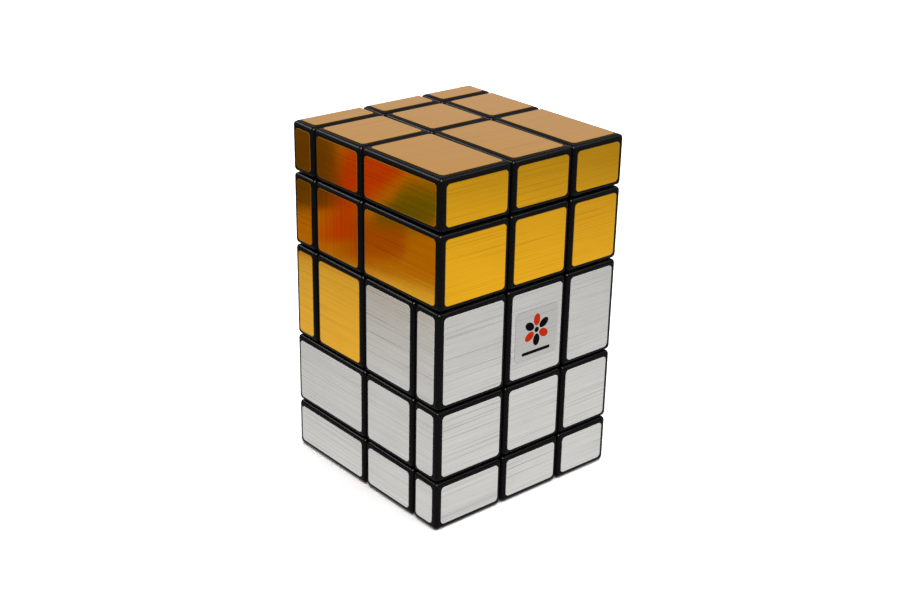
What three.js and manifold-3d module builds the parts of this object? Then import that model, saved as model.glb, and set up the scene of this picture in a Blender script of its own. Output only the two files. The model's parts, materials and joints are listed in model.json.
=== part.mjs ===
// Two mirror block cubes grown together: a gold cube above a silver one, five layers high.
// Both cubes have the same pieces. The silver cube is the gold one turned half round about X,
// and the two share the middle layer. Millimetres, +Z up, origin at the centre of the base.
//
// One cube's own frame has its origin at the centre of its core, with +X right, +Y towards its
// thin side and +Z away from the other cube. Every block is known by three signs, one for each
// axis: 0 in the middle slice, -1 or +1 in the slice on that side.

import * as THREE from 'three';
import Module from 'manifold-3d';
import { RoundedBoxGeometry } from 'three/addons/geometries/RoundedBoxGeometry.js';
import { mergeVertices } from 'three/addons/utils/BufferGeometryUtils.js';

const wasm = await Module();
wasm.setup();

// Slices of one cube
const MIDDLE_SLICE = 19;
const LEFT_SLICE = 21;
const RIGHT_SLICE = 17;
const THICK_SLICE = 29;
const THIN_SLICE = 9;
const OUTER_LAYER = 13;
const JOINED_LAYER = 25;

// Blocks and their feet
const CLEARANCE = 0.3;
const EDGE_RADIUS = 1;
const FOOT_LIP = 2.5;
const FOOT_HOLD = 1.25;
const FOOT_PLAY = 0.5;
const FOOT_HOLLOW = 6;
const FACE_WALL = 1;

// Core, centre stalks and screws
const STALK_DROP = 1.5;
const WELL_FLOOR = 1.5;
const WELL_RADIUS = 3.5;
const CORE_RELIEF = 0.7;
const BOSS_RADIUS = 4;
const BORE_RADIUS = 1.5;
const CORE_HEART = 3;
const TIP_PLAY = 0.5;
const SHANK_RADIUS = 1.2;
const TIP_RADIUS = 0.8;
const WASHER_RADIUS = 3;
const WASHER_THICKNESS = 0.4;
const HEAD_RADIUS = 2.9;
const HEAD_HEIGHT = 2;
const HEAD_RIM = 1.2;
const HEAD_CROWN_SHARE = 0.75;
const CROSS_WIDTH = 0.7;
const CROSS_LENGTH = 3.4;
const CROSS_DEPTH = 1;
const SPRING_RADIUS = 2.2;
const WIRE_RADIUS = 0.3;
const SPRING_TURNS = 3;

// Facets
const BALL_SIDES = 20;
const HOLLOW_SIDES = 12;
const CORE_SIDES = 12;
const BORE_SIDES = 10;
const SCREW_SIDES = 10;
const WIRE_SIDES = 4;
const WIRE_STEPS_PER_TURN = 7;

// Sizes that follow
const GAP = CLEARANCE / 2;
const HALF_MIDDLE = MIDDLE_SLICE / 2;
const WIDTH = LEFT_SLICE + MIDDLE_SLICE + RIGHT_SLICE;
const DEPTH = THICK_SLICE + MIDDLE_SLICE + THIN_SLICE;
const HEIGHT = 2 * (OUTER_LAYER + MIDDLE_SLICE) + JOINED_LAYER;
const THIN_FACE = HALF_MIDDLE + THIN_SLICE;
const NEAREST_FACE = HALF_MIDDLE + Math.min(LEFT_SLICE, RIGHT_SLICE, THICK_SLICE, THIN_SLICE, OUTER_LAYER);
const SHARED_PLANE = THIN_FACE - DEPTH / 2;
const FOOT_PLANE = HALF_MIDDLE - FOOT_LIP;
const STALK_HALF = FOOT_PLANE - GAP;
const INNER_CORNER = [HALF_MIDDLE + GAP, Math.max(HALF_MIDDLE, -SHARED_PLANE) + GAP, HALF_MIDDLE + GAP];
const FOOT_RADIUS = Math.hypot(...INNER_CORNER) + FOOT_HOLD;
const ROOM_RADIUS = FOOT_RADIUS + FOOT_PLAY;
const ROOM_REACH = Math.sqrt(ROOM_RADIUS ** 2 - STALK_HALF ** 2);
const WALL_REACH = NEAREST_FACE - FACE_WALL;
const HOLLOW_RADIUS = FOOT_PLANE + FOOT_HOLLOW;
const STALK_START = FOOT_PLANE + STALK_DROP;
const WELL_START = STALK_START + WELL_FLOOR;
const WELL_END = WALL_REACH;
const BOSS_END = STALK_START - CLEARANCE;
const CORE_RADIUS = BOSS_END - CORE_RELIEF;
const HEAD_TOP = WELL_END - CLEARANCE;
const WASHER_TOP = HEAD_TOP - HEAD_HEIGHT;
const WASHER_BOTTOM = WASHER_TOP - WASHER_THICKNESS;
const FAR = 2 * (WIDTH + DEPTH + HEIGHT);

// Where the other cube's core lies, seen from this cube's core
const OTHER_CORE = [0, 2 * SHARED_PLANE, -(JOINED_LAYER + MIDDLE_SLICE)];

// Solids

function solid(geometry) {
	geometry.deleteAttribute('normal');
	geometry.deleteAttribute('uv');
	const merged = mergeVertices(geometry);
	return new wasm.Manifold(new wasm.Mesh({
		numProp: 3,
		vertProperties: new Float32Array(merged.attributes.position.array),
		triVerts: new Uint32Array(merged.index.array),
	}));
}

function geometryOf(body) {
	const mesh = body.getMesh();
	const geometry = new THREE.BufferGeometry();
	geometry.setAttribute('position', new THREE.BufferAttribute(mesh.vertProperties, 3));
	geometry.setIndex(new THREE.BufferAttribute(mesh.triVerts, 1));
	geometry.computeVertexNormals();
	return geometry;
}

// A box between two corners, plain or with rounded edges
function boxBetween(low, high, radius = 0) {
	const size = high.map((value, axis) => value - low[axis]);
	const geometry = radius > 0 ? new RoundedBoxGeometry(...size, 1, radius) : new THREE.BoxGeometry(...size);
	geometry.translate(...low.map((value, axis) => (value + high[axis]) / 2));
	return solid(geometry);
}

function ball(radius, sides) {
	return solid(new THREE.SphereGeometry(radius, sides, sides / 2));
}

// A cylinder along one axis between two distances from the core
function rod(axis, sign, start, end, radius, sides = BORE_SIDES) {
	const geometry = new THREE.CylinderGeometry(radius, radius, end - start, sides);
	geometry.translate(0, (start + end) / 2, 0);
	return solid(alongAxis(geometry, axis, sign));
}

// Turns a geometry that stands along +Y so that it stands along the given axis
function alongAxis(geometry, axis, sign) {
	const target = new THREE.Vector3().setComponent(axis, sign);
	const turn = new THREE.Quaternion().setFromUnitVectors(new THREE.Vector3(0, 1, 0), target);
	return geometry.applyQuaternion(turn);
}

// Blocks

const FULL_BALL = ball(ROOM_RADIUS, BALL_SIDES);
const FOOT_SHELL = ball(FOOT_RADIUS, BALL_SIDES).subtract(ball(HOLLOW_RADIUS, HOLLOW_SIDES));

// The lowest and highest corner of a block
function blockCorners([x, y, z]) {
	const slices = [
		[[-HALF_MIDDLE - LEFT_SLICE, -HALF_MIDDLE - GAP], [HALF_MIDDLE + GAP, HALF_MIDDLE + RIGHT_SLICE]],
		[[-HALF_MIDDLE - THICK_SLICE, -HALF_MIDDLE - GAP], [HALF_MIDDLE + GAP, THIN_FACE]],
		[[-HALF_MIDDLE - JOINED_LAYER + GAP, -HALF_MIDDLE - GAP], [HALF_MIDDLE + GAP, HALF_MIDDLE + OUTER_LAYER]],
	];
	const ranges = [x, y, z].map((sign, axis) => {
		if (sign === 0) return [-HALF_MIDDLE + GAP, HALF_MIDDLE - GAP];
		return slices[axis][(sign + 1) / 2];
	});
	// In the joined layer the middle blocks reach to the plane between the two cubes
	if (z === -1 && y === 0) ranges[1][0] = SHARED_PLANE + GAP;
	return [ranges.map((range) => range[0]), ranges.map((range) => range[1])];
}

// The part of space that a block may fill inside the ball
function sector(signs) {
	const low = signs.map((sign) => (sign === 1 ? FOOT_PLANE + GAP : sign === 0 ? -STALK_HALF : -FAR));
	const high = signs.map((sign) => (sign === -1 ? -FOOT_PLANE - GAP : sign === 0 ? STALK_HALF : FAR));
	return boxBetween(low, high);
}

// What turns about an axis stays inside a cylinder round it, where the ball alone would come
// too near the outer face of the thinnest slice
function withinWall(body, axis, radius) {
	if (ROOM_REACH <= WALL_REACH) return body;
	return body.intersect(rod(axis, 1, -FAR, FAR, radius, BALL_SIDES));
}

// Room under a block's rim for its neighbours' feet
function footRoom(signs) {
	const rooms = [0, 1, 2].filter((axis) => signs[axis] === 0).map((axis) => {
		const reach = [FAR, FAR, FAR];
		reach[axis] = STALK_HALF;
		const room = FULL_BALL.subtract(boxBetween(reach.map((value) => -value), reach));
		return withinWall(room, axis, WALL_REACH);
	});
	return wasm.Manifold.union(rooms);
}

// The foot of a corner or an edge block
function foot(signs) {
	const sides = [0, 1, 2].filter((axis) => signs[axis] !== 0);
	const whole = FOOT_SHELL.intersect(sector(signs));
	return sides.reduce((body, axis) => withinWall(body, axis, WALL_REACH - FOOT_PLAY), whole);
}

// Cuts a block for one mechanism, whose core is at the given place, and gives it its foot there
function fitToCore(body, signs, core) {
	return body.subtract(footRoom(signs).translate(core)).add(foot(signs).translate(core));
}

// A centre's square stalk reaches down to the core. The screw goes through its floor, and its
// spring and head sit in a round well.
function fitToScrew(body, signs) {
	const axis = signs.findIndex((sign) => sign !== 0);
	const sign = signs[axis];
	const low = [-STALK_HALF, -STALK_HALF, -STALK_HALF];
	const high = [STALK_HALF, STALK_HALF, STALK_HALF];
	low[axis] = Math.min(sign * STALK_START, sign * WELL_END);
	high[axis] = Math.max(sign * STALK_START, sign * WELL_END);
	return body.subtract(footRoom(signs))
		.add(boxBetween(low, high))
		.subtract(rod(axis, sign, 0, WELL_START + GAP, BORE_RADIUS))
		.subtract(rod(axis, sign, WELL_START, WELL_END, WELL_RADIUS));
}

function block(signs) {
	let body = boxBetween(...blockCorners(signs), EDGE_RADIUS);
	const [x, y, z] = signs;
	const count = signs.filter((sign) => sign !== 0).length;
	body = count === 1 ? fitToScrew(body, signs) : fitToCore(body, signs, [0, 0, 0]);
	// The middle blocks of the joined layer also have a foot in the other cube, which holds
	// the two cubes together
	if (z === -1 && y === 0) body = fitToCore(body, [x, 1, 1], OTHER_CORE);
	return geometryOf(body);
}

// Core and screws

const DIRECTIONS = [0, 1, 2].flatMap((axis) => [-1, 1].map((sign) => [axis, sign]));

function core() {
	let body = ball(CORE_RADIUS, CORE_SIDES);
	for (const [axis, sign] of DIRECTIONS) body = body.add(rod(axis, sign, 0, BOSS_END, BOSS_RADIUS));
	for (const [axis, sign] of DIRECTIONS) {
		body = body.subtract(rod(axis, sign, CORE_HEART, BOSS_END + CLEARANCE, BORE_RADIUS));
	}
	return geometryOf(body);
}

class Helix extends THREE.Curve {
	constructor(radius, start, end, turns) {
		super();
		Object.assign(this, { radius, start, end, turns });
	}

	getPoint(t, target = new THREE.Vector3()) {
		const angle = 2 * Math.PI * this.turns * t;
		const height = this.start + (this.end - this.start) * t;
		return target.set(this.radius * Math.cos(angle), height, this.radius * Math.sin(angle));
	}
}

// The screw, its washer and its spring, which end up pressed together, standing along +Y
function screwUnit() {
	const profile = [
		[0, CORE_HEART + TIP_PLAY],
		[TIP_RADIUS, CORE_HEART + TIP_PLAY],
		[SHANK_RADIUS, CORE_HEART + TIP_PLAY + TIP_RADIUS],
		[SHANK_RADIUS, WASHER_BOTTOM],
		[WASHER_RADIUS, WASHER_BOTTOM],
		[WASHER_RADIUS, WASHER_TOP],
		[HEAD_RADIUS, WASHER_TOP],
		[HEAD_RADIUS, WASHER_TOP + HEAD_RIM],
		[HEAD_RADIUS * HEAD_CROWN_SHARE, HEAD_TOP],
		[0, HEAD_TOP],
	].map(([radius, height]) => new THREE.Vector2(radius, height));
	const screw = solid(new THREE.LatheGeometry(profile, SCREW_SIDES));

	const slot = (x, z) => boxBetween(
		[-x / 2, HEAD_TOP - CROSS_DEPTH, -z / 2],
		[x / 2, HEAD_TOP + CLEARANCE, z / 2],
	);
	const cross = slot(CROSS_LENGTH, CROSS_WIDTH).add(slot(CROSS_WIDTH, CROSS_LENGTH));

	const wire = new THREE.Shape().absarc(0, 0, WIRE_RADIUS, 0, 2 * Math.PI);
	const start = WELL_START + CLEARANCE + WIRE_RADIUS;
	const spring = solid(new THREE.ExtrudeGeometry(wire, {
		extrudePath: new Helix(SPRING_RADIUS, start, WASHER_BOTTOM + WASHER_THICKNESS / 2, SPRING_TURNS),
		steps: SPRING_TURNS * WIRE_STEPS_PER_TURN,
		curveSegments: WIRE_SIDES / 2,
		bevelEnabled: false,
	}));
	return screw.subtract(cross).add(spring);
}

// Materials

function blackPlastic() {
	return new THREE.MeshStandardMaterial({ color: 0x131314, roughness: 0.32, metalness: 0 });
}

function greyPlastic() {
	return new THREE.MeshStandardMaterial({ color: 0x3a3c40, roughness: 0.5, metalness: 0 });
}

function steel() {
	return new THREE.MeshStandardMaterial({ color: 0xb4b7ba, roughness: 0.35, metalness: 1 });
}

// Assembly

const GOLD = { name: 'gold', sides: [['left', 'right'], ['front', 'back'], ['bottom', 'top']] };
const SILVER = { name: 'silver', sides: [['left', 'right'], ['back', 'front'], ['top', 'bottom']] };

function sideName(cube, axis, sign) {
	return sign === 0 ? '' : cube.sides[axis][(sign + 1) / 2];
}

function blockName(cube, [x, y, z]) {
	const sides = [sideName(cube, 1, y), sideName(cube, 0, x)].filter(Boolean);
	const layer = z === -1 ? 'joined' : z === 0 ? 'middle' : sideName(cube, 2, z);
	const count = [x, y, z].filter((sign) => sign !== 0).length;
	if (count === 1) return [cube.name, z === 0 ? sides[0] : layer, 'centre'].join('_');
	return [cube.name, layer, count === 2 ? 'edge' : 'corner', ...sides].join('_');
}

// Signs of the blocks that one cube owns: in the joined layer its thick side belongs to the other
function ownedBlocks() {
	const signs = [-1, 0, 1];
	return signs
		.flatMap((z) => signs.flatMap((y) => signs.map((x) => [x, y, z])))
		.filter(([x, y, z]) => (x !== 0 || y !== 0 || z !== 0) && !(z === -1 && y === -1));
}

const BLOCK_SHAPES = ownedBlocks().map((signs) => [signs, block(signs)]);
const CORE_SHAPE = core();
const SCREW_SHAPE = screwUnit();

function cubeGroup(cube) {
	const group = new THREE.Group();
	const place = (name, geometry, material) => {
		const mesh = new THREE.Mesh(geometry, material);
		mesh.name = `${cube.name}_${name}`;
		group.add(mesh);
	};
	for (const [signs, geometry] of BLOCK_SHAPES) {
		place(blockName(cube, signs).slice(cube.name.length + 1), geometry, blackPlastic());
	}
	place('core', CORE_SHAPE, greyPlastic());
	for (const [axis, sign] of DIRECTIONS) {
		const geometry = alongAxis(geometryOf(SCREW_SHAPE), axis, sign);
		place(`screw_${sideName(cube, axis, sign)}`, geometry, steel());
	}
	return group;
}

const goldCube = cubeGroup(GOLD);
goldCube.position.set(
	LEFT_SLICE + HALF_MIDDLE - WIDTH / 2,
	-SHARED_PLANE,
	HEIGHT - OUTER_LAYER - HALF_MIDDLE,
);

const silverCube = cubeGroup(SILVER);
silverCube.rotation.x = Math.PI;
silverCube.position.set(
	goldCube.position.x,
	-goldCube.position.y,
	OUTER_LAYER + HALF_MIDDLE,
);

const mirrorBlocks = new THREE.Group();
mirrorBlocks.add(goldCube, silverCube);

export default mirrorBlocks;
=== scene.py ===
"""Two mirror block cubes joined into one tower, gold above silver, with their foils, label and studio.

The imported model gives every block, core and screw. This script gives them their finishes and adds the
foils on the outer faces of the blocks, the label on the front one, and the studio round them. Lengths
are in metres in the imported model's frame: +Z up, the label on the -Y side.
"""

import json
import math

import bpy
import numpy as np
from bpy.props import FloatProperty, FloatVectorProperty, IntProperty, PointerProperty
from mathutils import Matrix, Vector


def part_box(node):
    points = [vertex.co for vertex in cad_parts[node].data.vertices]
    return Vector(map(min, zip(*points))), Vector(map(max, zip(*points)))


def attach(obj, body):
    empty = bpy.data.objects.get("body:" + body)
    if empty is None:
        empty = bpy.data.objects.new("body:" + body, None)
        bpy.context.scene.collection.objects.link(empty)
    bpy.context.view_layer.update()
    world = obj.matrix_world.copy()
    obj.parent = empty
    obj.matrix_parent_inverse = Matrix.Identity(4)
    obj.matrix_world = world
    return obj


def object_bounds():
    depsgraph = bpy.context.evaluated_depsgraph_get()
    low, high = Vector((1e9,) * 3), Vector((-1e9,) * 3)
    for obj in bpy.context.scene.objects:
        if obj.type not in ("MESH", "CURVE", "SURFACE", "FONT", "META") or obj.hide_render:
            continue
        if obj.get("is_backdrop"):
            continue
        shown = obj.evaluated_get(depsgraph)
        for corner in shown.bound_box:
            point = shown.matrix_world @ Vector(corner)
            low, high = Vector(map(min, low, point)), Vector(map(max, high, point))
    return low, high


bl_info = {
    "name": "Joined mirror blocks",
    "version": (1, 0, 0),
    "blender": (4, 5, 0),
    "location": "View3D > Sidebar > Mirror Blocks",
    "description": "Foils, label, finishes and studio for two mirror block cubes joined into one tower",
    "category": "Object",
}

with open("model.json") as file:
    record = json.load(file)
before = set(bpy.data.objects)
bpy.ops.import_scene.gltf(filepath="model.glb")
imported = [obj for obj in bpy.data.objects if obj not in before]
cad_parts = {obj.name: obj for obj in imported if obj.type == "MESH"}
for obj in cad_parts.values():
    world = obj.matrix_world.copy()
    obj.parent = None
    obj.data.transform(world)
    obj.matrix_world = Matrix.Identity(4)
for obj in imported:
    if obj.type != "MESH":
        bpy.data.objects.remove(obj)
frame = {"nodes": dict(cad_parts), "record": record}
CAD_LOW, CAD_HIGH = (np.array(corner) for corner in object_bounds())

MM = 0.001
RIGHT, BACK, UP = range(3)
SIDE_NAMES = (("left", "right"), ("front", "back"), ("bottom", "top"))
BLOCK_WORDS = ("corner", "edge", "centre")
BRUSH_MAP = "Brush"
FOIL_SEED = 11
# Where a sheet's grid lines lie between the start of its round corner and its end.
CORNER_SHARES = (0.3, 0.6, 0.85, 0.97, 1.0)


# Where the blocks are


def middle_slice(node, axis, gap):
    """The cuts on both sides of a centre block along one axis, half a gap outside the block."""
    low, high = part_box(node)
    return low[axis] - gap / 2, high[axis] + gap / 2


def block_nodes():
    """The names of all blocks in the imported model."""
    return [name for name in sorted(frame["nodes"]) if any(word in name for word in BLOCK_WORDS)]


def shared_plane():
    """Where the two cubes meet in the joined layer: half-way between their middle slices."""
    return (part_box("gold_top_centre")[0][BACK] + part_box("silver_bottom_centre")[1][BACK]) / 2


def cell(node, gap):
    """The lowest and highest corner of the space that a block fills, from the words of its name.

    A block without a side word along an axis lies in the middle slice of that axis. In the joined
    layer the middle slices of the two cubes meet half-way between them.
    """
    words = node.split("_")
    cube = words[0]
    centre = {"gold": "gold_top_centre", "silver": "silver_bottom_centre"}[cube]
    x_cuts = middle_slice(centre, RIGHT, gap)
    y_cuts = middle_slice(centre, BACK, gap)
    gold_layer = middle_slice("gold_left_centre", UP, gap)
    silver_layer = middle_slice("silver_left_centre", UP, gap)
    low, high = CAD_LOW.copy(), CAD_HIGH.copy()
    for axis, cuts in ((RIGHT, x_cuts), (BACK, y_cuts)):
        if SIDE_NAMES[axis][0] in words:
            high[axis] = cuts[0]
        elif SIDE_NAMES[axis][1] in words:
            low[axis] = cuts[1]
        else:
            low[axis], high[axis] = cuts
            if axis == BACK and words[1] == "joined":
                (low if cube == "gold" else high)[axis] = shared_plane()
    if words[1] == "top":
        low[UP] = gold_layer[1]
    elif words[1] == "bottom":
        high[UP] = silver_layer[0]
    elif words[1] == "joined":
        low[UP], high[UP] = silver_layer[1], gold_layer[0]
    else:
        low[UP], high[UP] = gold_layer if cube == "gold" else silver_layer
    return low, high


def outer_sides(low, high):
    """The (axis, end) pairs where a cell reaches the outside of the tower; end is 0 or 1."""
    for axis in range(3):
        for end, edge, limit in ((0, low, CAD_LOW), (1, high, CAD_HIGH)):
            if abs(edge[axis] - limit[axis]) < 1e-6:
                yield axis, end


def body_of_node(node):
    """The name of the body that a CAD node belongs to."""
    bodies = frame["record"]["behaviour"]["bodies"]
    return next(body for body, members in bodies.items() if node in members)


# Meshes


def mesh_object(name, points, faces, materials, face_slots=None, brush=None):
    """An object at the origin made of a mesh with these points and faces.

    brush, when given, is a pair of coordinates for each point: along the brush lines and across them.
    """
    mesh = bpy.data.meshes.new(name)
    mesh.from_pydata(points.tolist(), [], faces)
    for material in materials:
        mesh.materials.append(material)
    if face_slots is not None:
        mesh.polygons.foreach_set("material_index", face_slots)
    mesh.polygons.foreach_set("use_smooth", [True] * len(mesh.polygons))
    if brush is not None:
        corners = np.empty(len(mesh.loops), np.int32)
        mesh.loops.foreach_get("vertex_index", corners)
        layer = mesh.uv_layers.new(name=BRUSH_MAP)
        layer.uv.foreach_set("vector", brush[corners].astype(np.float32).ravel())
    mesh.validate()
    mesh.update()
    piece = bpy.data.objects.new(name, mesh)
    bpy.context.scene.collection.objects.link(piece)
    return piece


def grid_marks(half, corner, step):
    """Marks along one side of a sheet: at most a step apart between its corners, and closer towards its end."""
    straight = half - corner
    count = max(2, math.ceil(2 * straight / step))
    inner = np.linspace(-straight, straight, count + 1)
    outer = straight + corner * np.array(CORNER_SHARES)
    return np.concatenate([-outer[::-1], inner, outer])


def rounded_sheet(half_size, corner, step):
    """Points of a flat sheet with round corners, on a grid.

    Each corner square of the grid is pressed into a quarter disc: a point at shares s and t of the
    corner radius from the straight part moves to s * sqrt(1 - t*t / 2) and t * sqrt(1 - s*s / 2).
    Returns the x and y of each point as two arrays of the grid's shape.
    """
    marks = [grid_marks(half, corner, step) for half in half_size]
    x, y = np.meshgrid(*marks, indexing="ij")
    s = np.maximum(np.abs(x) - (half_size[0] - corner), 0) / corner
    t = np.maximum(np.abs(y) - (half_size[1] - corner), 0) / corner
    x_out = np.sign(x) * (np.minimum(np.abs(x), half_size[0] - corner) + corner * s * np.sqrt(1 - t * t / 2))
    y_out = np.sign(y) * (np.minimum(np.abs(y), half_size[1] - corner) + corner * t * np.sqrt(1 - s * s / 2))
    return x_out, y_out


def border_of_grid(rows, columns):
    """The indices of a grid's border points in order, counter-clockwise."""
    index = np.arange(rows * columns).reshape(rows, columns)
    return np.concatenate([index[:-1, 0], index[-1, :-1], index[:0:-1, -1], index[0, :0:-1]])


def sheet_mesh(half_size, corner, thickness, rim, foot, step, waves):
    """A thin sticker lying on z = 0: a gently waved top on a grid, a quarter-round rim and a flat underside.

    Rim ring k of n lies outside the grid's border by rim * sin(90 degrees * k / n) and below it by
    rim * (1 - cos(90 degrees * k / n)); the last ring goes straight down to the foot. Returns points,
    faces, and for each face whether it is rim.
    """
    inner = (half_size[0] - rim, half_size[1] - rim)
    inner_corner = corner - rim
    x, y = rounded_sheet(inner, inner_corner, step)
    rows, columns = x.shape
    top = np.stack([x.ravel(), y.ravel(), thickness + waves(x, y).ravel()], axis=1)

    index = np.arange(rows * columns).reshape(rows, columns)
    quads = np.stack([index[:-1, :-1], index[1:, :-1], index[1:, 1:], index[:-1, 1:]], axis=-1).reshape(-1, 4)

    border = border_of_grid(rows, columns)
    edge = top[border]
    straight = np.array(inner) - inner_corner
    outward = edge[:, :2] - np.clip(edge[:, :2], -straight, straight)
    outward /= np.linalg.norm(outward, axis=1, keepdims=True)
    angles = np.radians([30, 60, 90])
    rings = [np.column_stack([edge[:, :2] + outward * rim * math.sin(a), edge[:, 2] - rim * (1 - math.cos(a))])
             for a in angles]
    rings.append(np.column_stack([rings[-1][:, :2], np.full(len(border), foot)]))
    loops = [border] + [rows * columns + i * len(border) + np.arange(len(border)) for i in range(len(rings))]
    walls = [np.stack([a, b, np.roll(b, -1), np.roll(a, -1)], axis=1)
             for a, b in zip(loops[:-1], loops[1:])]

    points = np.concatenate([top, *rings])
    faces = [*quads.tolist(), *np.concatenate(walls).tolist(), loops[-1][::-1].tolist()]
    is_rim = [0] * len(quads) + [1] * (len(faces) - len(quads))
    return points, faces, is_rim


def onto_side(points, centre, along, across, outward):
    """Points drawn in a side's own plane, put on that side of the tower."""
    return centre + points[:, :1] * along + points[:, 1:2] * across + points[:, 2:] * outward


def side_axes(axis, end, brushed_up=False):
    """Unit vectors of a side: along its brush lines, across them and outwards, right-handed."""
    outward = np.zeros(3)
    outward[axis] = 2 * end - 1
    up = np.zeros(3)
    up[BACK if axis == UP else UP] = 1
    along = up if brushed_up else np.cross(up, outward)
    return along, np.cross(outward, along), outward


# Materials


def new_material(name):
    """An empty node material with a Principled shader; returns the material, its tree and the shader."""
    material = bpy.data.materials.new(name)
    material.use_nodes = True
    shader = material.node_tree.nodes["Principled BSDF"]
    return material, material.node_tree, shader


def add_node(tree, kind, settings=(), **inputs):
    """A node of the given kind with settings and input values; an underscore in an input's name is a space."""
    node = tree.nodes.new(kind)
    for name, value in dict(settings).items():
        setattr(node, name, value)
    for name, value in inputs.items():
        node.inputs[name.replace("_", " ")].default_value = value
    return node


def noise(tree, coordinates, scale, detail=2.0, roughness=0.5):
    """Noise stretched by a scale for each axis; its features are about 1 / scale long."""
    mapping = add_node(tree, "ShaderNodeMapping", Scale=scale)
    texture = add_node(tree, "ShaderNodeTexNoise", Scale=1.0, Detail=detail, Roughness=roughness)
    tree.links.new(coordinates, mapping.inputs["Vector"])
    tree.links.new(mapping.outputs["Vector"], texture.inputs["Vector"])
    return texture.outputs["Fac"]


def spread(tree, value, from_low, from_high, to_low, to_high):
    """A value carried from one range to another, kept inside the second."""
    node = add_node(tree, "ShaderNodeMapRange")
    for name, number in (("From Min", from_low), ("From Max", from_high), ("To Min", to_low), ("To Max", to_high)):
        node.inputs[name].default_value = number
    tree.links.new(value, node.inputs["Value"])
    return node.outputs["Result"]


def combine(tree, operation, first, second):
    """Two values joined by a Math node; second may be a number."""
    node = add_node(tree, "ShaderNodeMath", {"operation": operation})
    tree.links.new(first, node.inputs[0])
    if isinstance(second, (int, float)):
        node.inputs[1].default_value = second
    else:
        tree.links.new(second, node.inputs[1])
    return node.outputs[0]


def mix_colours(tree, share, first, second):
    """A colour between two colours by a share from 0 to 1. Each colour is a value or a socket."""
    node = add_node(tree, "ShaderNodeMix", {"data_type": "RGBA"})
    tree.links.new(share, node.inputs["Factor"])
    for socket, colour in ((node.inputs[6], first), (node.inputs[7], second)):
        if isinstance(colour, bpy.types.NodeSocket):
            tree.links.new(colour, socket)
        else:
            socket.default_value = (*colour, 1.0)
    return node.outputs[2]


def brushed_foil(name, light, dark, line, roughness, relief, line_strength):
    """Metal foil with brush lines that run along the brush map's first coordinate.

    Fine, middle and broad streaks set its tone, its gloss and its height, sparse dark lines lie over
    them, and a slow cloud shifts the tone from place to place.
    """
    material, tree, shader = new_material(name)
    brush = add_node(tree, "ShaderNodeUVMap", {"uv_map": BRUSH_MAP}).outputs["UV"]
    fine = spread(tree, noise(tree, brush, (26, 12000, 1), detail=2.0), 0.3, 0.7, 0.0, 0.42)
    middle = spread(tree, noise(tree, brush, (20, 4600, 1), detail=1.0), 0.3, 0.7, 0.0, 0.34)
    broad = spread(tree, noise(tree, brush, (14, 1500, 1), detail=2.0), 0.3, 0.7, 0.0, 0.24)
    cloud = spread(tree, noise(tree, brush, (70, 110, 1), detail=2.0), 0.3, 0.7, -0.10, 0.10)
    lines = spread(tree, noise(tree, brush, (22, 4300, 1), detail=1.0), 0.60, 0.70, 0.0, 1.0)

    streaks = combine(tree, "ADD", combine(tree, "ADD", fine, middle), broad)
    tone = combine(tree, "ADD", streaks, cloud)
    tone.node.use_clamp = True
    colour = mix_colours(tree, tone, dark, light)
    line_share = combine(tree, "MULTIPLY", lines, line_strength)
    tree.links.new(mix_colours(tree, line_share, colour, line), shader.inputs["Base Color"])
    rough = spread(tree, streaks, 0.0, 1.0, roughness - 0.03, roughness + 0.04)
    tree.links.new(rough, shader.inputs["Roughness"])

    bump = add_node(tree, "ShaderNodeBump", Strength=0.4, Distance=relief)
    tree.links.new(combine(tree, "SUBTRACT", streaks, line_share), bump.inputs["Height"])
    tree.links.new(bump.outputs["Normal"], shader.inputs["Normal"])
    tangent = add_node(tree, "ShaderNodeTangent", {"direction_type": "UV_MAP", "uv_map": BRUSH_MAP})
    tree.links.new(tangent.outputs["Tangent"], shader.inputs["Tangent"])
    shader.inputs["Metallic"].default_value = 1.0
    shader.inputs["Anisotropic"].default_value = 0.5
    shader.inputs["Anisotropic Rotation"].default_value = 0.25
    shader.inputs["Coat Weight"].default_value = 0.2
    shader.inputs["Coat Roughness"].default_value = 0.1
    return material


def cut_edge(name, colour):
    """The matt cut edge of a film, with faint unevenness."""
    material, tree, shader = new_material(name)
    place = add_node(tree, "ShaderNodeTexCoord").outputs["Object"]
    grain = noise(tree, place, (1500, 1500, 1500))
    shade = tuple(0.8 * part for part in colour)
    tree.links.new(mix_colours(tree, grain, shade, colour), shader.inputs["Base Color"])
    tree.links.new(spread(tree, grain, 0.3, 0.7, 0.5, 0.6), shader.inputs["Roughness"])
    shader.inputs["Specular IOR Level"].default_value = 0.03
    return material


def moulded_plastic(name, colour, roughness, specular):
    """Moulded plastic: a faint orange-peel surface, patchy gloss and fine rub marks."""
    material, tree, shader = new_material(name)
    place = add_node(tree, "ShaderNodeTexCoord").outputs["Object"]
    peel = noise(tree, place, (900, 900, 900), detail=2.0)
    patches = noise(tree, place, (120, 120, 120), detail=3.0)
    rubs = noise(tree, place, (260, 3800, 3800), detail=2.0)
    rub_share = spread(tree, rubs, 0.6, 0.75, 0.0, 1.0)
    gloss = spread(tree, patches, 0.3, 0.7, roughness - 0.05, roughness + 0.05)
    rough = combine(tree, "MULTIPLY_ADD", rub_share, 0.12)
    tree.links.new(gloss, rough.node.inputs[2])
    tree.links.new(rough, shader.inputs["Roughness"])
    worn = tuple(1.8 * part for part in colour)
    tree.links.new(mix_colours(tree, rub_share, colour, worn), shader.inputs["Base Color"])
    bump = add_node(tree, "ShaderNodeBump", Strength=0.12, Distance=0.02 * MM)
    tree.links.new(peel, bump.inputs["Height"])
    tree.links.new(bump.outputs["Normal"], shader.inputs["Normal"])
    shader.inputs["Specular IOR Level"].default_value = specular
    return material


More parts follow.
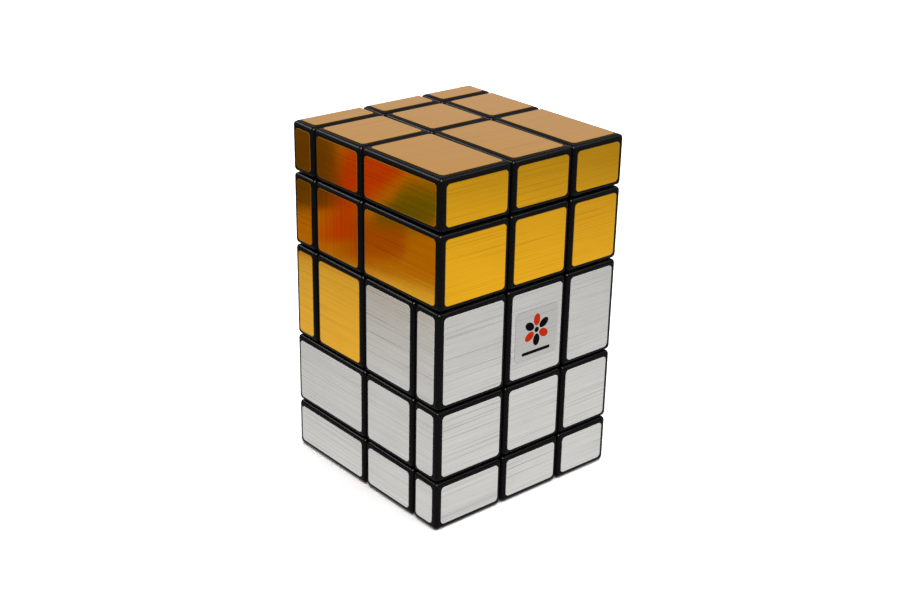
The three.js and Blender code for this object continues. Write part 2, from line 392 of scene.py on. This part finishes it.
def plated_steel(name, colour):
    """Plated steel with patchy gloss."""
    material, tree, shader = new_material(name)
    place = add_node(tree, "ShaderNodeTexCoord").outputs["Object"]
    patches = noise(tree, place, (600, 600, 600), detail=3.0)
    shade = tuple(0.75 * part for part in colour)
    tree.links.new(mix_colours(tree, patches, shade, colour), shader.inputs["Base Color"])
    tree.links.new(spread(tree, patches, 0.3, 0.7, 0.22, 0.38), shader.inputs["Roughness"])
    shader.inputs["Metallic"].default_value = 1.0
    return material


def printed_ink(name, colour):
    """Satin printing ink with a faint mottle."""
    material, tree, shader = new_material(name)
    place = add_node(tree, "ShaderNodeTexCoord").outputs["Object"]
    mottle = noise(tree, place, (3000, 3000, 3000))
    shade = tuple(0.8 * part for part in colour)
    tree.links.new(mix_colours(tree, mottle, shade, colour), shader.inputs["Base Color"])
    tree.links.new(spread(tree, mottle, 0.3, 0.7, 0.4, 0.55), shader.inputs["Roughness"])
    shader.inputs["Specular IOR Level"].default_value = 0.012
    return material


def matt_card(name, colour):
    """The floor's even matt paper, with a very faint mottle."""
    material, tree, shader = new_material(name)
    place = add_node(tree, "ShaderNodeTexCoord").outputs["Object"]
    mottle = noise(tree, place, (30, 30, 30))
    shade = tuple(0.985 * part for part in colour)
    tree.links.new(mix_colours(tree, mottle, shade, colour), shader.inputs["Base Color"])
    shader.inputs["Roughness"].default_value = 0.9
    shader.inputs["Specular IOR Level"].default_value = 0.1
    return material


def glowing_card(name, colour, strength=1.0, centre=(0, 0, 0), falloff=()):
    """A card that only mirrored rays meet. falloff holds pairs of a distance from a centre and a share
    of the card's brightness there; without it the card is even."""
    material = bpy.data.materials.new(name)
    material.use_nodes = True
    tree = material.node_tree
    tree.nodes.remove(tree.nodes["Principled BSDF"])
    glow = add_node(tree, "ShaderNodeEmission", Color=(*colour, 1.0), Strength=strength)
    if falloff:
        place = add_node(tree, "ShaderNodeTexCoord").outputs["Object"]
        distance = add_node(tree, "ShaderNodeVectorMath", {"operation": "DISTANCE"})
        distance.inputs[1].default_value = centre
        tree.links.new(place, distance.inputs[0])
        reach = falloff[-1][0]
        ramp = add_node(tree, "ShaderNodeValToRGB")
        for stop, (far, share) in zip((*ramp.color_ramp.elements, *(
                ramp.color_ramp.elements.new(0.5) for _ in falloff[2:])), falloff):
            stop.position = far / reach
            stop.color = (*(share * part for part in colour), 1.0)
        tree.links.new(combine(tree, "DIVIDE", distance.outputs["Value"], reach), ramp.inputs["Fac"])
        tree.links.new(ramp.outputs["Color"], glow.inputs["Color"])
    tree.links.new(glow.outputs["Emission"], tree.nodes["Material Output"].inputs["Surface"])
    return material


# Sizes and colours that a user may change


class FoilSettings(bpy.types.PropertyGroup):
    """Sizes of the foils."""

    gap: FloatProperty(name="Gap", description="Gap between neighbouring blocks", default=0.3 * MM, unit="LENGTH")
    inner_margin: FloatProperty(
        name="Inner margin", description="From the middle of a groove to the foil", default=1.43 * MM, unit="LENGTH")
    outer_margin: FloatProperty(
        name="Outer margin", description="From the tower's outside to the foil", default=1.52 * MM, unit="LENGTH")
    corner: FloatProperty(name="Corner", description="Corner radius of a foil", default=1.0 * MM, unit="LENGTH")
    thickness: FloatProperty(name="Thickness", description="Thickness of a foil", default=0.14 * MM, unit="LENGTH")
    rim: FloatProperty(name="Rim", description="Radius of a foil's rim", default=0.05 * MM, unit="LENGTH")
    wave: FloatProperty(name="Wave", description="Height of the foil's waves", default=0.005 * MM, unit="LENGTH")
    step: FloatProperty(name="Step", description="Largest step of a foil's grid", default=1.1 * MM, unit="LENGTH")


class FinishSettings(bpy.types.PropertyGroup):
    """Colours of the finishes."""

    gold: FloatVectorProperty(
        name="Gold", description="Gold foil", subtype="COLOR", size=3, default=(0.96, 0.495, 0.005))
    gold_dark: FloatVectorProperty(
        name="Gold streaks", description="Darker gold streaks", subtype="COLOR", size=3, default=(0.80, 0.385, 0.002))
    silver: FloatVectorProperty(
        name="Silver", description="Silver foil", subtype="COLOR", size=3, default=(0.69, 0.69, 0.68))
    silver_dark: FloatVectorProperty(
        name="Silver streaks", description="Darker silver streaks", subtype="COLOR", size=3,
        default=(0.505, 0.505, 0.495))
    plastic: FloatVectorProperty(
        name="Plastic", description="Black plastic", subtype="COLOR", size=3, default=(0.0030, 0.0030, 0.0034))
    core: FloatVectorProperty(
        name="Core", description="Dark grey plastic", subtype="COLOR", size=3, default=(0.04, 0.042, 0.048))
    steel: FloatVectorProperty(
        name="Steel", description="Screws and springs", subtype="COLOR", size=3, default=(0.55, 0.56, 0.57))


class LabelSettings(bpy.types.PropertyGroup):
    """Sizes and inks of the label."""

    width: FloatProperty(name="Width", description="Width of the label", default=13.8 * MM, unit="LENGTH")
    height: FloatProperty(name="Height", description="Height of the label", default=13.0 * MM, unit="LENGTH")
    corner: FloatProperty(name="Corner", description="Corner radius of the label", default=1.2 * MM, unit="LENGTH")
    drop: FloatProperty(
        name="Drop", description="How far the label sits below the middle", default=0.35 * MM, unit="LENGTH")
    thickness: FloatProperty(name="Thickness", description="Thickness of the film", default=0.04 * MM, unit="LENGTH")
    ink_height: FloatProperty(name="Ink", description="Thickness of the ink", default=0.015 * MM, unit="LENGTH")
    petals: IntProperty(name="Petals", description="Petals of the rosette", default=6, min=3, max=12)
    rosette: FloatProperty(name="Rosette", description="Radius of the rosette", default=4.2 * MM, unit="LENGTH")
    bar_width: FloatProperty(name="Bar", description="Width of the bar", default=9.2 * MM, unit="LENGTH")
    dark_ink: FloatVectorProperty(
        name="Dark ink", description="Bar, middle and every other petal", subtype="COLOR", size=3, default=(0.0018, 0.0021, 0.0021))
    warm_ink: FloatVectorProperty(
        name="Warm ink", description="Other petals of the rosette", subtype="COLOR", size=3, default=(0.345, 0.0155, 0.0012))


class StudioSettings(bpy.types.PropertyGroup):
    """Camera and light."""

    azimuth: FloatProperty(
        name="Azimuth", description="Camera's place round the tower", default=math.radians(-40.4), subtype="ANGLE")
    elevation: FloatProperty(
        name="Elevation", description="Camera's height angle", default=math.radians(23.24), subtype="ANGLE")
    roll: FloatProperty(name="Roll", description="Camera's roll", default=math.radians(1.09), subtype="ANGLE")
    distance: FloatProperty(
        name="Distance", description="From the aim to the camera", default=367.6 * MM, unit="LENGTH")
    aim: FloatVectorProperty(
        name="Aim", description="Where the camera aims, from the tower's middle", size=3,
        default=(-0.9 * MM, 0.25 * MM, -0.9 * MM), subtype="TRANSLATION")
    lens: FloatProperty(name="Lens", description="Focal length in millimetres", default=58.0)
    sky: FloatProperty(name="Sky", description="Brightness all round", default=0.60)
    floor_size: FloatProperty(name="Floor", description="Side of the floor", default=4.0, unit="LENGTH")


# The studio's cards

# Where the mirrored paper is brightest, and its brightness at distances from there, in metres.
PAPER_CENTRE = (0.025, -0.035)
PAPER_FALLOFF = ((0.030, 1.0), (0.085, 0.95), (0.130, 0.86), (0.165, 0.77), (0.200, 0.69), (0.235, 0.55),
                 (0.270, 0.45), (0.600, 0.42))
# Name, glow, middle, half size and turn of each coloured card on the floor, in millimetres and degrees.
FLOOR_CARDS = (
    ("amber_card", (0.44, 0.24, 0.0), (-250, 185), (150, 150), -16),
    ("dark_card", (0.115, 0.07, 0.0), (-132, 274), (77, 70), 125),
    ("rust_card", (0.36, 0.115, 0.0), (-137, 137), (20, 11), 128),
    ("red_card", (0.47, 0.058, 0.0), (-181, 206), (36, 8), 128),
    ("low_red_card", (0.47, 0.058, 0.0), (-185, 196), (27, 8), 145),
    ("near_red_card", (0.47, 0.062, 0.0), (-140, 161), (26, 6), 134),
    ("olive_card", (0.11, 0.15, 0.0), (-170, 155), (24, 12), 145),
)
# Name, direction from the tower, distance, half size in metres and glow of each card for the glints.
GLINT_CARDS = (
    ("key_card", (-0.536, -0.42, 0.73), 0.75, (0.18, 0.18), 90.0),
    ("back_left_card", (-0.387, 0.705, 0.58), 0.75, (0.16, 0.12), 18.0),
    ("right_card", (0.589, -0.394, 0.704), 0.75, (0.16, 0.12), 8.0),
)


# How far the glue stays behind the blocks' faces, and clear of the axle that the feet swing round.
GLUE_MARGIN = 1.25 * MM
GLUE_REACH = 15.0 * MM
# Half the glue's thickness as a share of the gap: it wets both blocks.
GLUE_SHARE = 0.53


# Operators


class MIRRORBLOCKS_OT_studio(bpy.types.Operator):
    """Floor, soft lights, reflected cards and camera"""

    bl_idname = "mirror_blocks.studio"
    bl_label = "Studio"

    def execute(self, context):
        studio = context.scene.mirror_studio
        foil = context.scene.mirror_foil
        context.scene.view_settings.view_transform = "Standard"
        self.floor(studio.floor_size, CAD_LOW[UP] - foil.thickness)
        self.cards(CAD_LOW[UP] - foil.thickness)
        self.sky(context.scene, studio.sky)
        self.lights()
        self.camera(context.scene, studio)
        return {"FINISHED"}

    def floor(self, size, height):
        """A flat square on which the tower stands."""
        corners = np.array([(-1, -1, 0), (1, -1, 0), (1, 1, 0), (-1, 1, 0)], float) * size / 2
        corners[:, 2] = height
        floor = mesh_object("floor", corners, [(0, 1, 2, 3)], [matt_card("floor_paper", (0.9, 0.9, 0.9))])
        floor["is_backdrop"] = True

    def mirrored_card(self, name, half, corner, place, material):
        """A round-cornered card laid by a matrix, that only mirrored rays meet."""
        x, y = rounded_sheet(half, corner, 50 * MM)
        rows, columns = x.shape
        index = np.arange(rows * columns).reshape(rows, columns)
        quads = np.stack([index[:-1, :-1], index[1:, :-1], index[1:, 1:], index[:-1, 1:]], axis=-1)
        flat = np.stack([x.ravel(), y.ravel(), np.zeros(x.size)], axis=1)
        turn = np.array(place.to_3x3())
        card = mesh_object(name, flat @ turn.T + np.array(place.translation), quads.reshape(-1, 4).tolist(),
                           [material])
        card.visible_camera = False
        card.visible_diffuse = False
        card.visible_shadow = False
        card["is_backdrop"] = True
        return card

    def cards(self, height):
        """Cards that the foils and the plastic mirror: white paper on the floor all round, coloured ones to
        the left, and bright ones overhead that make glints on the black blocks alone."""
        paper = glowing_card("paper_glow", (1.0, 0.99, 0.965), 1.0, (*PAPER_CENTRE, height), PAPER_FALLOFF)
        self.mirrored_card("paper_card", (0.9, 0.9), 0.3, Matrix.Translation((0, 0, height + 0.1 * MM)), paper)
        for layer, (name, colour, middle, half, turn) in enumerate(FLOOR_CARDS):
            place = Matrix.Translation((middle[0] * MM, middle[1] * MM, height + (0.2 + 0.1 * layer) * MM))
            self.mirrored_card(name, (half[0] * MM, half[1] * MM), 5 * MM,
                               place @ Matrix.Rotation(math.radians(turn), 4, "Z"), glowing_card(name, colour))
        glinting = bpy.data.collections.new("blocks_and_floor")
        for piece in (bpy.data.objects["floor"], *(frame["nodes"][name] for name in block_nodes())):
            glinting.objects.link(piece)
        for name, direction, distance, half, glow in GLINT_CARDS:
            back = Vector(direction).normalized()
            place = Matrix.Translation(back * distance + Vector((0, 0, CAD_HIGH[UP] / 2)))
            turn = back.to_track_quat("Z", "Y").to_matrix().to_4x4()
            card = self.mirrored_card(name, half, min(half) / 3, place @ turn,
                                      glowing_card(name, (1.0, 1.0, 1.0), glow))
            card.light_linking.receiver_collection = glinting

    def sky(self, scene, brightness):
        """An even, slightly warm surround."""
        world = bpy.data.worlds.new("studio_sky")
        world.use_nodes = True
        tint = (1.0, 0.90, 0.92)
        world.node_tree.nodes["Background"].inputs["Color"].default_value = (
            *(brightness * part for part in tint), 1.0)
        scene.world = world

    def lights(self):
        """Two soft boxes: a wide one over the tower and one to the right. No foil mirrors them."""
        for name, direction, distance, size, radiance in (
            ("overhead_box", (0.05, -0.1, 1.0), 1.1, 1.7, 3.5),
            ("right_box", (0.62, -0.42, 0.66), 0.9, 0.45, 3.0),
        ):
            lamp = bpy.data.lights.new(name, "AREA")
            lamp.shape = "SQUARE"
            lamp.size = size
            lamp.energy = radiance * math.pi * size * size
            box = bpy.data.objects.new(name, lamp)
            back = Vector(direction).normalized()
            box.location = back * distance + Vector((0, 0, CAD_HIGH[UP] / 2))
            box.rotation_euler = back.to_track_quat("Z", "Y").to_euler()
            box.visible_glossy = False
            bpy.context.scene.collection.objects.link(box)

    def camera(self, scene, studio):
        """The camera looks at the aim from an azimuth and an elevation, and is rolled about its own axis."""
        back = Vector((math.sin(studio.azimuth) * math.cos(studio.elevation),
                       -math.cos(studio.azimuth) * math.cos(studio.elevation),
                       math.sin(studio.elevation)))
        aim = Vector((CAD_LOW + CAD_HIGH) / 2) + Vector(studio.aim)
        turn = back.to_track_quat("Z", "Y").to_matrix().to_4x4() @ Matrix.Rotation(studio.roll, 4, "Z")
        lens = bpy.data.cameras.new("camera")
        lens.lens = studio.lens
        lens.sensor_width = 36.0
        lens.clip_start = 0.01
        camera = bpy.data.objects.new("camera", lens)
        camera.matrix_world = Matrix.Translation(aim + back * studio.distance) @ turn
        scene.collection.objects.link(camera)
        scene.camera = camera


def smooth_group():
    """A node group that merges a CAD node's loose triangles and smooths every edge but its sharp ones."""
    group = bpy.data.node_groups.new("smooth_rounded_edges", "GeometryNodeTree")
    group.interface.new_socket("Geometry", in_out="INPUT", socket_type="NodeSocketGeometry")
    group.interface.new_socket("Geometry", in_out="OUTPUT", socket_type="NodeSocketGeometry")
    start = group.nodes.new("NodeGroupInput")
    end = group.nodes.new("NodeGroupOutput")
    forget = group.nodes.new("GeometryNodeRemoveAttribute")
    forget.inputs["Name"].default_value = "custom_normal"
    merge = group.nodes.new("GeometryNodeMergeByDistance")
    merge.inputs["Distance"].default_value = 0.002 * MM
    smooth = group.nodes.new("GeometryNodeSetShadeSmooth")
    crease = group.nodes.new("GeometryNodeSetShadeSmooth")
    crease.domain = "EDGE"
    crease.inputs["Shade Smooth"].default_value = False
    angle = group.nodes.new("GeometryNodeInputMeshEdgeAngle")
    sharp = group.nodes.new("FunctionNodeCompare")
    sharp.inputs["B"].default_value = math.radians(62)
    links = group.links
    links.new(start.outputs[0], forget.inputs["Geometry"])
    links.new(forget.outputs["Geometry"], merge.inputs["Geometry"])
    links.new(merge.outputs["Geometry"], smooth.inputs["Geometry"])
    links.new(smooth.outputs["Geometry"], crease.inputs["Geometry"])
    links.new(angle.outputs["Unsigned Angle"], sharp.inputs["A"])
    links.new(sharp.outputs["Result"], crease.inputs["Selection"])
    links.new(crease.outputs["Geometry"], end.inputs[0])
    return group


def finish_nodes(names, material, group):
    """Gives CAD nodes a material and smooth rounded edges."""
    for name in names:
        node = frame["nodes"][name]
        for slot in node.material_slots:
            slot.material = material
        smooth = node.modifiers.new("smooth", "NODES")
        smooth.node_group = group
        weighted = node.modifiers.new("weighted_normals", "WEIGHTED_NORMAL")
        weighted.keep_sharp = True
        weighted.weight = 60


class MIRRORBLOCKS_OT_blocks(bpy.types.Operator):
    """Black plastic on all blocks"""

    bl_idname = "mirror_blocks.blocks"
    bl_label = "Blocks"

    def execute(self, context):
        colours = context.scene.mirror_finish
        plastic = moulded_plastic("black_plastic_finish", tuple(colours.plastic), 0.22, 0.032)
        finish_nodes(block_nodes(), plastic, smooth_group())
        return {"FINISHED"}


class MIRRORBLOCKS_OT_mechanism(bpy.types.Operator):
    """Grey plastic on the cores and steel on the screws"""

    bl_idname = "mirror_blocks.mechanism"
    bl_label = "Mechanism"

    def execute(self, context):
        colours = context.scene.mirror_finish
        group = smooth_group()
        cores = [name for name in frame["nodes"] if name.endswith("_core")]
        screws = [name for name in frame["nodes"] if "_screw_" in name]
        finish_nodes(cores, moulded_plastic("grey_plastic_finish", tuple(colours.core), 0.45, 0.5), group)
        finish_nodes(screws, plated_steel("steel_finish", tuple(colours.steel)), group)
        return {"FINISHED"}


def foil_waves(random, height):
    """A function of x and y: three crossed sine waves of 6 to 16 mm with random directions and phases."""
    turns = random.uniform(0, 2 * math.pi, 3)
    phases = random.uniform(0, 2 * math.pi, 3)
    lengths = random.uniform(6 * MM, 16 * MM, 3)

    def waves(x, y):
        total = np.zeros_like(x)
        for turn, phase, length in zip(turns, phases, lengths):
            total += np.sin(2 * math.pi * (x * math.cos(turn) + y * math.sin(turn)) / length + phase)
        return height * total / 3

    return waves


def add_foils(cube, foil, material, edge):
    """A foil on every outer side of one cube's blocks."""
    random = np.random.default_rng(FOIL_SEED + len(cube))
    for node in block_nodes():
        if not node.startswith(cube):
            continue
        low, high = cell(node, foil.gap)
        for axis, end in outer_sides(low, high):
            along, across, outward = side_axes(axis, end, brushed_up=node == "gold_left_centre")
            edges_low = np.where(np.isclose(low, CAD_LOW, atol=1e-6), foil.outer_margin, foil.inner_margin)
            edges_high = np.where(np.isclose(high, CAD_HIGH, atol=1e-6), foil.outer_margin, foil.inner_margin)
            foil_low, foil_high = low + edges_low, high - edges_high
            centre = (foil_low + foil_high) / 2
            centre[axis] = (low, high)[end][axis]
            half_size = tuple(abs(np.dot(foil_high - foil_low, direction)) / 2 for direction in (along, across))
            points, faces, is_rim = sheet_mesh(half_size, foil.corner, foil.thickness, foil.rim,
                                               -0.02 * MM, foil.step, foil_waves(random, foil.wave))
            offset = random.uniform(0, 3, 2)
            piece = mesh_object(f"{node}_foil_{SIDE_NAMES[axis][end]}",
                                onto_side(points, centre, along, across, outward), faces,
                                [material, edge], is_rim, brush=points[:, :2] + offset)
            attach(piece, body_of_node(node))


class MIRRORBLOCKS_OT_gold_foils(bpy.types.Operator):
    """Gold foils on the upper cube"""

    bl_idname = "mirror_blocks.gold_foils"
    bl_label = "Gold foils"

    def execute(self, context):
        colours = context.scene.mirror_finish
        material = brushed_foil("gold_foil_finish", tuple(colours.gold), tuple(colours.gold_dark),
                                (0.52, 0.23, 0.001), 0.08, 0.0035 * MM, 0.5)
        edge = cut_edge("gold_foil_edge", (0.20, 0.11, 0.008))
        add_foils("gold", context.scene.mirror_foil, material, edge)
        return {"FINISHED"}


class MIRRORBLOCKS_OT_silver_foils(bpy.types.Operator):
    """Silver foils on the lower cube"""

    bl_idname = "mirror_blocks.silver_foils"
    bl_label = "Silver foils"

    def execute(self, context):
        colours = context.scene.mirror_finish
        material = brushed_foil("silver_foil_finish", tuple(colours.silver), tuple(colours.silver_dark),
                                (0.30, 0.30, 0.295), 0.24, 0.007 * MM, 0.7)
        edge = cut_edge("silver_foil_edge", (0.50, 0.50, 0.49))
        add_foils("silver", context.scene.mirror_foil, material, edge)
        return {"FINISHED"}


def plate_mesh(outline, low, high):
    """A thin plate between two heights with this outline, given counter-clockwise."""
    count = len(outline)
    points = np.concatenate([np.column_stack([outline, np.full(count, height)]) for height in (low, high)])
    around = np.arange(count)
    walls = np.stack([around, np.roll(around, -1), np.roll(around, -1) + count, around + count], axis=1)
    faces = [*walls.tolist(), (around + count).tolist(), around[::-1].tolist()]
    return points, faces


def ellipse(centre, half_length, half_width, turn, count=32):
    """The outline of an ellipse about a centre, its long axis at an angle."""
    angle = np.arange(count) * 2 * math.pi / count
    x, y = half_length * np.cos(angle), half_width * np.sin(angle)
    c, s = math.cos(turn), math.sin(turn)
    return np.column_stack([centre[0] + c * x - s * y, centre[1] + s * x + c * y])


class MIRRORBLOCKS_OT_glue(bpy.types.Operator):
    """Dark glue between the gold and the silver blocks of the joined layer, beside the mechanism"""

    bl_idname = "mirror_blocks.glue"
    bl_label = "Glue"

    def execute(self, context):
        gap = context.scene.mirror_foil.gap
        low, high = cell("silver_joined_edge_front", gap)
        glue = moulded_plastic("dark_glue_finish", tuple(context.scene.mirror_finish.plastic), 0.6, 0.02)
        axle = (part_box("gold_core")[0][RIGHT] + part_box("gold_core")[1][RIGHT]) / 2
        height = (high - low)[UP] / 2 - GLUE_MARGIN
        along, across, outward = side_axes(BACK, 0)
        for side, ends in (("left", (CAD_LOW[RIGHT] + GLUE_MARGIN, axle - GLUE_REACH)),
                           ("right", (axle + GLUE_REACH, CAD_HIGH[RIGHT] - GLUE_MARGIN))):
            centre = np.array([sum(ends) / 2, shared_plane(), (low + high)[UP] / 2])
            x, y = rounded_sheet(((ends[1] - ends[0]) / 2, height), 0.5 * MM, 5 * MM)
            outline = np.column_stack([x.ravel(), y.ravel()])[border_of_grid(*x.shape)]
            points, faces = plate_mesh(outline, -GLUE_SHARE * gap, GLUE_SHARE * gap)
            piece = mesh_object(f"joined_layer_glue_{side}",
                                onto_side(points, centre, along, across, outward), faces, [glue])
            piece.data.polygons.foreach_set("use_smooth", [False] * len(piece.data.polygons))
            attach(piece, "joined_layer")
        return {"FINISHED"}


class MIRRORBLOCKS_OT_label(bpy.types.Operator):
    """A clear label with a plain rosette on the middle front foil of the joined layer"""

    bl_idname = "mirror_blocks.label"
    bl_label = "Label"

    def execute(self, context):
        scene = context.scene
        foil, label = scene.mirror_foil, scene.mirror_label
        node = "silver_joined_edge_front"
        body = body_of_node(node)
        low, high = cell(node, foil.gap)
        along, across, outward = side_axes(BACK, 0)
        centre = (low + high) / 2
        centre[BACK] = low[BACK]
        colours = scene.mirror_finish
        film = brushed_foil("label_film_finish", tuple(0.81 * v for v in colours.silver),
                            tuple(0.71 * v for v in colours.silver), (0.34, 0.34, 0.335), 0.28, 0.004 * MM, 0.6)
        edge = cut_edge("label_film_edge", (0.16, 0.16, 0.16))
        base = foil.thickness + foil.wave
        points, faces, is_rim = sheet_mesh(
            (label.width / 2, label.height / 2), label.corner, base + label.thickness, 0.03 * MM,
            foil.thickness - 0.02 * MM, foil.step, lambda x, y: np.zeros_like(x))
        points[:, 1] -= label.drop
        piece = mesh_object("label_film", onto_side(points, centre, along, across, outward), faces,
                            [film, edge], is_rim, brush=points[:, :2] + 1.7)
        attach(piece, body)

        ink_low = base + label.thickness - 0.01 * MM
        ink_high = base + label.thickness + label.ink_height
        dark = printed_ink("dark_ink", tuple(label.dark_ink))
        warm = printed_ink("warm_ink", tuple(label.warm_ink))
        middle = (0.0, 0.5 * MM)
        shapes = []
        for petal in range(label.petals):
            turn = math.pi / 2 + 2 * math.pi * petal / label.petals
            reach = 0.63 * label.rosette
            place = (middle[0] + reach * math.cos(turn), middle[1] + reach * math.sin(turn))
            shapes.append((f"label_petal_{petal + 1}",
                           ellipse(place, 0.37 * label.rosette, 0.25 * label.rosette, turn),
                           (warm, dark)[petal % 2]))
        shapes.append(("label_middle", ellipse(middle, 0.17 * label.rosette, 0.17 * label.rosette, 0.0), dark))
        x, y = rounded_sheet((label.bar_width / 2, 0.42 * MM), 0.4 * MM, 1.0 * MM)
        bar = np.column_stack([x.ravel(), y.ravel() - 5.1 * MM])[border_of_grid(*x.shape)]
        shapes.append(("label_bar", bar, dark))
        for name, outline, ink in shapes:
            points, faces = plate_mesh(outline, ink_low, ink_high)
            piece = mesh_object(name, onto_side(points, centre, along, across, outward), faces, [ink])
            piece.data.polygons.foreach_set("use_smooth", [False] * len(piece.data.polygons))
            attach(piece, body)
        return {"FINISHED"}


class MIRRORBLOCKS_PT_panel(bpy.types.Panel):
    """The sidebar panel with every step"""

    bl_idname = "MIRRORBLOCKS_PT_panel"
    bl_label = "Mirror Blocks"
    bl_space_type = "VIEW_3D"
    bl_region_type = "UI"
    bl_category = "Mirror Blocks"

    def draw(self, context):
        for step in STEPS:
            self.layout.operator(step.bl_idname)
        for name in SETTINGS:
            box = self.layout.box()
            settings = getattr(context.scene, name)
            for value in settings.__annotations__:
                box.prop(settings, value)


STEPS = (
    MIRRORBLOCKS_OT_studio,
    MIRRORBLOCKS_OT_blocks,
    MIRRORBLOCKS_OT_mechanism,
    MIRRORBLOCKS_OT_gold_foils,
    MIRRORBLOCKS_OT_silver_foils,
    MIRRORBLOCKS_OT_glue,
    MIRRORBLOCKS_OT_label,
)
SETTINGS = {
    "mirror_foil": FoilSettings,
    "mirror_finish": FinishSettings,
    "mirror_label": LabelSettings,
    "mirror_studio": StudioSettings,
}


def register():
    for settings in SETTINGS.values():
        bpy.utils.register_class(settings)
    for name, settings in SETTINGS.items():
        setattr(bpy.types.Scene, name, PointerProperty(type=settings))
    for step in STEPS:
        bpy.utils.register_class(step)
    bpy.utils.register_class(MIRRORBLOCKS_PT_panel)


def unregister():
    bpy.utils.unregister_class(MIRRORBLOCKS_PT_panel)
    for step in reversed(STEPS):
        bpy.utils.unregister_class(step)
    for name, settings in SETTINGS.items():
        delattr(bpy.types.Scene, name)
        bpy.utils.unregister_class(settings)


def main():
    """Builds everything."""
    register()
    bpy.ops.mirror_blocks.studio()
    bpy.ops.mirror_blocks.blocks()
    bpy.ops.mirror_blocks.mechanism()
    bpy.ops.mirror_blocks.gold_foils()
    bpy.ops.mirror_blocks.silver_foils()
    bpy.ops.mirror_blocks.glue()
    bpy.ops.mirror_blocks.label()


if __name__ == "__main__":
    main()
